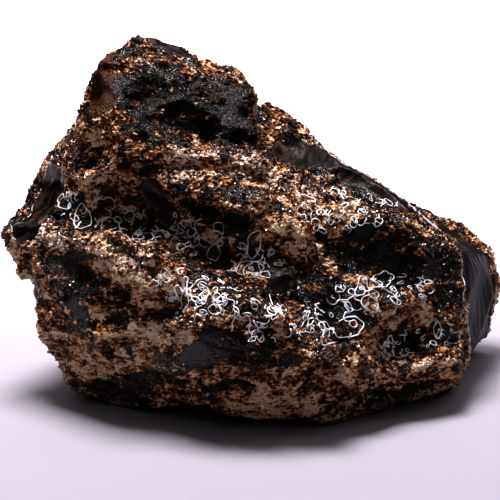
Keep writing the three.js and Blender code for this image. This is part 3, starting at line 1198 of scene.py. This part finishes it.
@dataclass
class GlintRims:
    """The bright loops: near-white tubes that lie on the lump, a painted highlight for the glints of its
    wet surface.

    Rings and wandering strings are strewn over the stretches listed for them, and a line of painted
    highlight follows each listed crease.
    """

    radius_mm: float = 0.15
    step_mm: float = 0.35
    clear_mm: float = 0.16
    waver_mm: float = 0.35
    edge_waver_mm: float = 0.06
    edge_ease_rounds: int = 8
    crease_deg: float = 35.0
    crease_reach_mm: float = 5.0
    small_rings: int = 320
    small_mm: tuple[float, float] = (0.6, 2.2)
    large_rings: int = 28
    large_mm: tuple[float, float] = (2.4, 6.0)
    strings: int = 13
    string_mm: tuple[float, float] = (5.0, 15.0)
    string_turn: float = 0.35
    dent: float = 0.34
    seed: int = 5
    keep_off_mm: float = 0.7
    wet_least: float = 0.4
    ring_width: tuple[float, float] = (0.4, 0.95)
    ring_sweep: tuple[float, float] = (0.55, 1.15)
    thickness: tuple[float, float] = (0.75, 1.15)
    swell: float = 0.3
    swells: int = 3
    ease_rounds: tuple[int, int] = (2, 1)
    grain_foot_mm: tuple[float, float] = (1.0, 2.5)
    grain_crust: tuple[float, float] = (0.25, 0.7)

    def build(self, ground: bpy.types.Object) -> bpy.types.Object:
        """Lays all the rims on the lump, and marks where its crust may hold grains.

        Args:
            ground: the lump's body.

        Returns:
            The rims as one finished object.
        """
        mesh = ground.data
        surface = BVHTree.FromPolygons(
            [v.co for v in mesh.vertices], [tuple(p.vertices) for p in mesh.polygons]
        )
        chance = np.random.default_rng(self.seed)
        places = corners_of(mesh)
        wet = places[covered(GLINT_LOOP_PATCHES, places / MM) > self.wet_least]
        creases = packed_creases(self.crease_deg, self.step_mm)
        lines = [(self._along(rim, creases), False, self.edge_waver_mm) for rim in EDGE_GLINTS]
        for count, sizes in ((self.large_rings, self.large_mm), (self.small_rings, self.small_mm)):
            lines += [self._ring(middle, sizes, surface, chance) for middle in chance.choice(wet, count)]
        for start in chance.choice(wet, self.strings):
            lines.append((self._string(start, surface, chance), False, self.waver_mm))
        curve = bpy.data.curves.new("amber_film_rims", "CURVE")
        curve.dimensions = "3D"
        curve.bevel_depth = self.radius_mm * MM
        curve.bevel_resolution = 1
        curve.use_fill_caps = True
        laid = []
        for line, closed, waver_mm in lines:
            shaken = line + chance.normal(0, waver_mm * MM, line.shape)
            laid.append(self._laid(shaken, closed, surface))
            self._draw(curve, laid[-1], closed, chance)
        piece = linked("amber_film_rims", curve)
        finished = bpy.data.meshes.new_from_object(piece)
        bpy.data.objects.remove(piece)
        bpy.data.curves.remove(curve)
        piece = linked("amber_film_rims", finished)
        welded(finished)
        finished.materials.clear()
        # The tubes are near-white: a painted highlight.
        finished.materials.append(GlintRimFinish().material())
        finished.shade_smooth()
        self._mark_grains(mesh, np.concatenate(laid))
        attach(piece, "root")
        return piece

    def _along(self, rim: EdgeGlint, creases: KDTree) -> np.ndarray:
        """Points a step apart from a rim's start to its end, drawn onto the nearest crease.

        Args:
            rim: where the line starts and ends.
            creases: points along the lump's sharp edges.

        Returns:
            One point a row, in metres.
        """
        start, end = rim.start.place(), rim.end.place()
        count = max(2, round((end - start).length / (self.step_mm * MM)))
        line = []
        for part in np.linspace(0, 1, count):
            place = start.lerp(end, part)
            nearest, _, gap = creases.find(place)
            line.append(nearest if gap < self.crease_reach_mm * MM else place)
        return self._eased(np.array(line), False, self.edge_ease_rounds)

    def _string(self, start: np.ndarray, surface: BVHTree, chance: np.random.Generator) -> np.ndarray:
        """A string that wanders over the surface, in metres.

        Args:
            start: where it sets out.
            surface: the lump's surface.
            chance: the random numbers it wanders by.

        Returns:
            One point a row.
        """
        place, out = surface.find_nearest(Vector(start))[:2]
        heading = out.orthogonal()
        heading.rotate(Quaternion(out, chance.uniform(0, 2 * math.pi)))
        line = []
        for _ in range(round(chance.uniform(*self.string_mm) / self.step_mm)):
            line.append(np.array(place))
            heading.rotate(Quaternion(out, chance.normal(0, self.string_turn)))
            place, out = surface.find_nearest(place + heading * self.step_mm * MM)[:2]
            heading = (heading - out * heading.dot(out)).normalized()
        return np.array(line)

    def _ring(
        self,
        middle: np.ndarray,
        sizes_mm: tuple[float, float],
        surface: BVHTree,
        chance: np.random.Generator,
    ) -> tuple[np.ndarray, bool, float]:
        """A ring's dented outline in the plane that touches the lump at its middle.

        Args:
            middle: the ring's middle, in metres.
            sizes_mm: the least and the greatest length it may have.
            surface: the lump's surface.
            chance: the random numbers its shape comes from.

        Returns:
            Its points in metres, one a row, whether it closes, and how far it wavers.
        """
        out = surface.find_nearest(Vector(middle))[1]
        side = out.orthogonal()
        side.rotate(Quaternion(out, chance.uniform(0, 2 * math.pi)))
        up = out.cross(side)
        long = chance.uniform(*sizes_mm)
        wide = long * chance.uniform(*self.ring_width)
        sweep = min(chance.uniform(*self.ring_sweep), 1)
        closed = sweep == 1
        around = math.pi * (long + wide) / 2
        count = max(8, round(around * sweep / self.step_mm))
        angles = np.linspace(0, 2 * math.pi * sweep, count, endpoint=not closed)
        reach = 1 + sum(
            chance.uniform(0, self.dent / waves) * np.sin(waves * angles + chance.uniform(0, 2 * math.pi))
            for waves in (2, 3, 4, 5)
        )
        x = long / 2 * reach * np.cos(angles) * MM
        y = wide / 2 * reach * np.sin(angles) * MM
        outline = middle + x[:, None] * np.array(side) + y[:, None] * np.array(up)
        return outline, closed, self.waver_mm

    def _laid(self, line: np.ndarray, closed: bool, surface: BVHTree) -> np.ndarray:
        """Eases a line and sets it down on the lump, just clear of it.

        Args:
            line: one point a row, in metres.
            closed: whether its ends meet.
            surface: the lump's surface.

        Returns:
            The laid line, one point a row.
        """
        before, after = self.ease_rounds
        laid = []
        for point in self._eased(line, closed, before):
            spot, out = surface.find_nearest(Vector(point))[:2]
            laid.append(spot + self.clear_mm * MM * out)
        return self._eased(np.array(laid), closed, after)

    @staticmethod
    def _eased(line: np.ndarray, closed: bool, rounds: int) -> np.ndarray:
        """Draws each point of a line towards the middle of its neighbours.

        Args:
            line: one point a row.
            closed: whether its ends meet. The ends of an open line stay.
            rounds: how many times it is done.

        Returns:
            The eased line.
        """
        for _ in range(rounds):
            before, after = np.roll(line, 1, axis=0), np.roll(line, -1, axis=0)
            eased = 0.5 * line + 0.25 * (before + after)
            if not closed:
                eased[0], eased[-1] = line[0], line[-1]
            line = eased
        return line

    def _draw(
        self, curve: bpy.types.Curve, line: np.ndarray, closed: bool, chance: np.random.Generator
    ) -> None:
        """Adds one rim to the curve, thicker and thinner along its way.

        Args:
            curve: the curve that all the rims are drawn in.
            line: one point a row, in metres.
            closed: whether its ends meet.
            chance: the random numbers its thickness comes from.
        """
        spline = curve.splines.new("POLY")
        spline.points.add(len(line) - 1)
        along = np.linspace(0, 2 * self.swells * math.pi, len(line))
        swell = chance.uniform(*self.thickness) + self.swell * np.sin(along)
        for point, place, thick in zip(spline.points, line, swell):
            point.co = (*place, 1)
            point.radius = float(thick)
        spline.use_cyclic_u = closed

    def _mark_grains(self, mesh: bpy.types.Mesh, rims: np.ndarray) -> None:
        """Marks the crust that may hold grains: above the foot and clear of the rims.

        Args:
            mesh: the lump's mesh, which it marks.
            rims: the points of all the rims, one a row.
        """
        tree = KDTree(len(rims))
        for number, place in enumerate(rims):
            tree.insert(Vector(place), number)
        tree.balance()
        places = corners_of(mesh)
        gaps = np.array([tree.find(Vector(place))[2] for place in places]) / MM
        crust = np.empty(len(places), np.float32)
        mesh.attributes[Cover.CRUST.value].data.foreach_get("value", crust)
        above = smoothstep(*self.grain_foot_mm, places[:, 2] / MM)
        apart = smoothstep(0.5 * self.keep_off_mm, self.keep_off_mm, gaps)
        set_cover(mesh, Cover.GRAINS, smoothstep(*self.grain_crust, crust) * above * apart)


@dataclass
class GrainField:
    """Angular grains set over the crust, joined into one mesh."""

    name: str
    seed: int
    per_mm2: float
    size_mm: tuple[float, float]
    shapes: int = 6
    chip: float = 0.3

    def build(self, ground: bpy.types.Object, finish: bpy.types.Material) -> bpy.types.Object:
        """Scatters the grains over the lump's crust.

        Args:
            ground: the lump's body, with its covers.
            finish: the grains' material.

        Returns:
            The grains as one finished object.
        """
        shapes = self._grain_shapes()
        piece = linked(self.name, ground.data.copy())
        piece.data.materials.clear()
        scatter = piece.modifiers.new("scatter", "NODES")
        scatter.node_group = self._scattering(shapes, finish)
        settled(piece)
        for shape in list(shapes.objects):
            bpy.data.meshes.remove(shape.data)
        bpy.data.collections.remove(shapes)
        bpy.data.node_groups.remove(bpy.data.node_groups[self.name])
        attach(piece, "root")
        return piece

    def _grain_shapes(self) -> bpy.types.Collection:
        """Makes a few chipped grains, each a block with its corners knocked in and out.

        Returns:
            A collection of the grains.
        """
        shapes = bpy.data.collections.new(self.name)
        noise.seed_set(self.seed)
        for number in range(self.shapes):
            grain = bmesh.new()
            bmesh.ops.create_cube(grain, size=0.7)
            for corner in grain.verts:
                corner.co += self.chip * noise.random_vector()
            bmesh.ops.triangulate(grain, faces=grain.faces)
            mesh = bpy.data.meshes.new(f"{self.name}_{number}")
            grain.to_mesh(mesh)
            grain.free()
            shapes.objects.link(bpy.data.objects.new(mesh.name, mesh))
        return shapes

    def _scattering(self, shapes: bpy.types.Collection, finish: bpy.types.Material) -> Tree:
        """Builds the nodes that set the grains on the crust, tint them and join them.

        Args:
            shapes: the grains to choose from.
            finish: the grains' material.

        Returns:
            The node tree.
        """
        tree = bpy.data.node_groups.new(self.name, "GeometryNodeTree")
        tree.interface.new_socket("Geometry", in_out="INPUT", socket_type="NodeSocketGeometry")
        tree.interface.new_socket("Geometry", in_out="OUTPUT", socket_type="NodeSocketGeometry")
        ground = add(tree, "NodeGroupInput").outputs[0]
        holding = add(
            tree,
            "GeometryNodeInputNamedAttribute",
            {"data_type": "FLOAT", "Name": Cover.GRAINS.value},
        ).outputs[0]
        density = add(
            tree,
            "ShaderNodeMath",
            {"operation": "MULTIPLY", 1: self.per_mm2 / MM**2},
            {0: holding},
        )
        points = add(
            tree,
            "GeometryNodeDistributePointsOnFaces",
            {"Seed": self.seed},
            {"Mesh": ground, "Density": density.outputs[0]},
        )
        turn = add(
            tree,
            "FunctionNodeRandomValue",
            {"data_type": "FLOAT_VECTOR", 1: (2 * math.pi,) * 3, "Seed": self.seed + 1},
        )
        low, high = self.size_mm
        size = add(
            tree,
            "FunctionNodeRandomValue",
            {"data_type": "FLOAT", 2: low * MM, 3: high * MM, "Seed": self.seed + 2},
        )
        tint = add(
            tree,
            "FunctionNodeRandomValue",
            {"data_type": "FLOAT", 2: 0.0, 3: 1.0, "Seed": self.seed + 3},
        )
        chips = add(tree, "GeometryNodeCollectionInfo", {"Collection": shapes, "Separate Children": True})
        set_out = add(
            tree,
            "GeometryNodeInstanceOnPoints",
            {"Pick Instance": True},
            {
                "Points": points.outputs["Points"],
                "Instance": chips.outputs[0],
                "Rotation": turn.outputs[0],
                "Scale": size.outputs[1],
            },
        )
        tinted = add(
            tree,
            "GeometryNodeStoreNamedAttribute",
            {"data_type": "FLOAT", "domain": "INSTANCE", "Name": Cover.TINT.value},
            {"Geometry": set_out.outputs[0], "Value": tint.outputs[1]},
        )
        joined = add(tree, "GeometryNodeRealizeInstances", links={"Geometry": tinted.outputs[0]})
        dressed = add(
            tree,
            "GeometryNodeSetMaterial",
            {"Material": finish},
            {"Geometry": joined.outputs[0]},
        )
        add(tree, "NodeGroupOutput", links={0: dressed.outputs[0]})
        return tree


# ---------------------------------------------------------------- floor, light and camera


@dataclass(frozen=True)
class Softbox:
    """A rectangular light, aimed at one place. Sizes are metres, the spread is radians."""

    name: str
    place: Place
    size: tuple[float, float]
    watts: float
    aim: Place = (0.0, 0.0, 0.03)
    spread: float = math.pi
    mirrored: bool = True
    tint: str = "#fffaff"

    def hang(self) -> None:
        """Hangs the light, out of the camera's sight."""
        light = bpy.data.lights.new(self.name, "AREA")
        light.shape = "RECTANGLE"
        light.size, light.size_y = self.size
        light.energy = self.watts
        light.spread = self.spread
        light.color = linear(self.tint)[:3]
        lamp = bpy.data.objects.new(self.name, light)
        lamp.location = self.place
        facing = Vector(self.aim) - Vector(self.place)
        lamp.rotation_euler = facing.to_track_quat("-Z", "Y").to_euler()
        lamp.visible_camera = False
        lamp.visible_glossy = self.mirrored
        bpy.context.scene.collection.objects.link(lamp)


@dataclass
class Studio:
    """A pale floor under a dim sky, a soft light over the lump, one that whitens the floor behind and two
    weak strips at the sides."""

    floor_radius: float = 1.6
    sky: tuple[tuple[float, float], ...] = ((0.0, 0.03), (0.3, 0.08), (0.55, 0.45), (0.85, 0.95), (1.0, 1.0))
    sky_strength: float = 0.18
    softboxes: tuple[Softbox, ...] = (
        Softbox("overhead_softbox", (-0.06, 0.07, 0.48), (0.19, 0.16), 4.2),
        Softbox("backdrop_wash", (-0.1, 0.5, 0.3), (1.1, 0.5), 16.0, (-0.1, 0.5, 0.0), 1.9, False),
        Softbox("strip_left", (-0.3, -0.04, 0.34), (0.02, 0.3), 0.1),
        Softbox("strip_right", (0.3, 0.02, 0.34), (0.02, 0.3), 0.2),
    )

    def build(self) -> None:
        """Lays the floor and hangs the lights."""
        self._lay_floor()
        self._raise_sky()
        view = bpy.context.scene.view_settings
        view.view_transform = "Standard"
        view.look = "High Contrast"
        for softbox in self.softboxes:
            softbox.hang()

    def _lay_floor(self) -> None:
        """A round floor, a hair below the lump's base."""
        disc = bmesh.new()
        bmesh.ops.create_circle(disc, cap_ends=True, segments=96, radius=self.floor_radius)
        bmesh.ops.translate(disc, verts=disc.verts, vec=(0, 0, -0.05 * MM))
        mesh = bpy.data.meshes.new("floor")
        disc.to_mesh(mesh)
        disc.free()
        mesh.materials.append(FloorBoard().material())
        linked("floor", mesh)

    def _raise_sky(self) -> None:
        """A sky that is bright overhead and dim towards the horizon."""
        world = bpy.data.worlds.new("overhead_sky")
        world.use_nodes = True
        tree = world.node_tree
        way = add(tree, "ShaderNodeTexCoord").outputs["Generated"]
        height = add(tree, "ShaderNodeSeparateXYZ", links={0: way}).outputs["Z"]
        glow = add(tree, "ShaderNodeValToRGB", links={"Fac": height})
        steps = glow.color_ramp.elements
        while len(steps) < len(self.sky):
            steps.new(0.5)
        for step, (position, light) in zip(steps, self.sky):
            step.position = position
            step.color = (light, light, light, 1)
        sky = tree.nodes["Background"]
        tree.links.new(glow.outputs[0], sky.inputs["Color"])
        sky.inputs["Strength"].default_value = self.sky_strength
        bpy.context.scene.world = world


@dataclass
class Camera:
    """The camera, looking along +Y and a little down."""

    elevation_deg: float = 17.0
    distance: float = 0.45
    target: Place = (0.0, 0.0, 0.0332)
    lens_mm: float = 133.85
    sensor_mm: float = 36.0

    def build(self) -> None:
        """Sets up the camera as the scene's own."""
        lens = bpy.data.cameras.new("camera")
        lens.lens = self.lens_mm
        lens.sensor_width = self.sensor_mm
        lens.clip_start = 0.01
        camera = bpy.data.objects.new("camera", lens)
        rise = math.radians(self.elevation_deg)
        back = Vector((0, -math.cos(rise), math.sin(rise)))
        camera.location = Vector(self.target) + self.distance * back
        camera.rotation_euler = (-back).to_track_quat("-Z", "Y").to_euler()
        bpy.context.scene.collection.objects.link(camera)
        bpy.context.scene.camera = camera


def report(piece: bpy.types.Object) -> None:
    """Logs a finished piece's name and its number of faces."""
    LOG.info("%s: %d faces", piece.name, len(piece.data.polygons))


def main() -> None:
    """Builds the camera, the lump and its grains, and the studio round them."""
    logging.basicConfig(level=logging.INFO, format="%(name)s: %(message)s")
    Camera().build()
    lump = AmberLump().build()
    report(lump)
    report(GlintRims().build(lump))
    grains = CrustGrains().material()
    for field in (
        GrainField("crust_grains_coarse", 11, 0.3, (0.6, 0.95)),
        GrainField("crust_grains_middling", 12, 1.0, (0.42, 0.66)),
        GrainField("crust_grains_fine", 13, 1.0, (0.3, 0.48)),
    ):
        report(field.build(lump, grains))
    Studio().build()


if __name__ == "__main__":
    main()
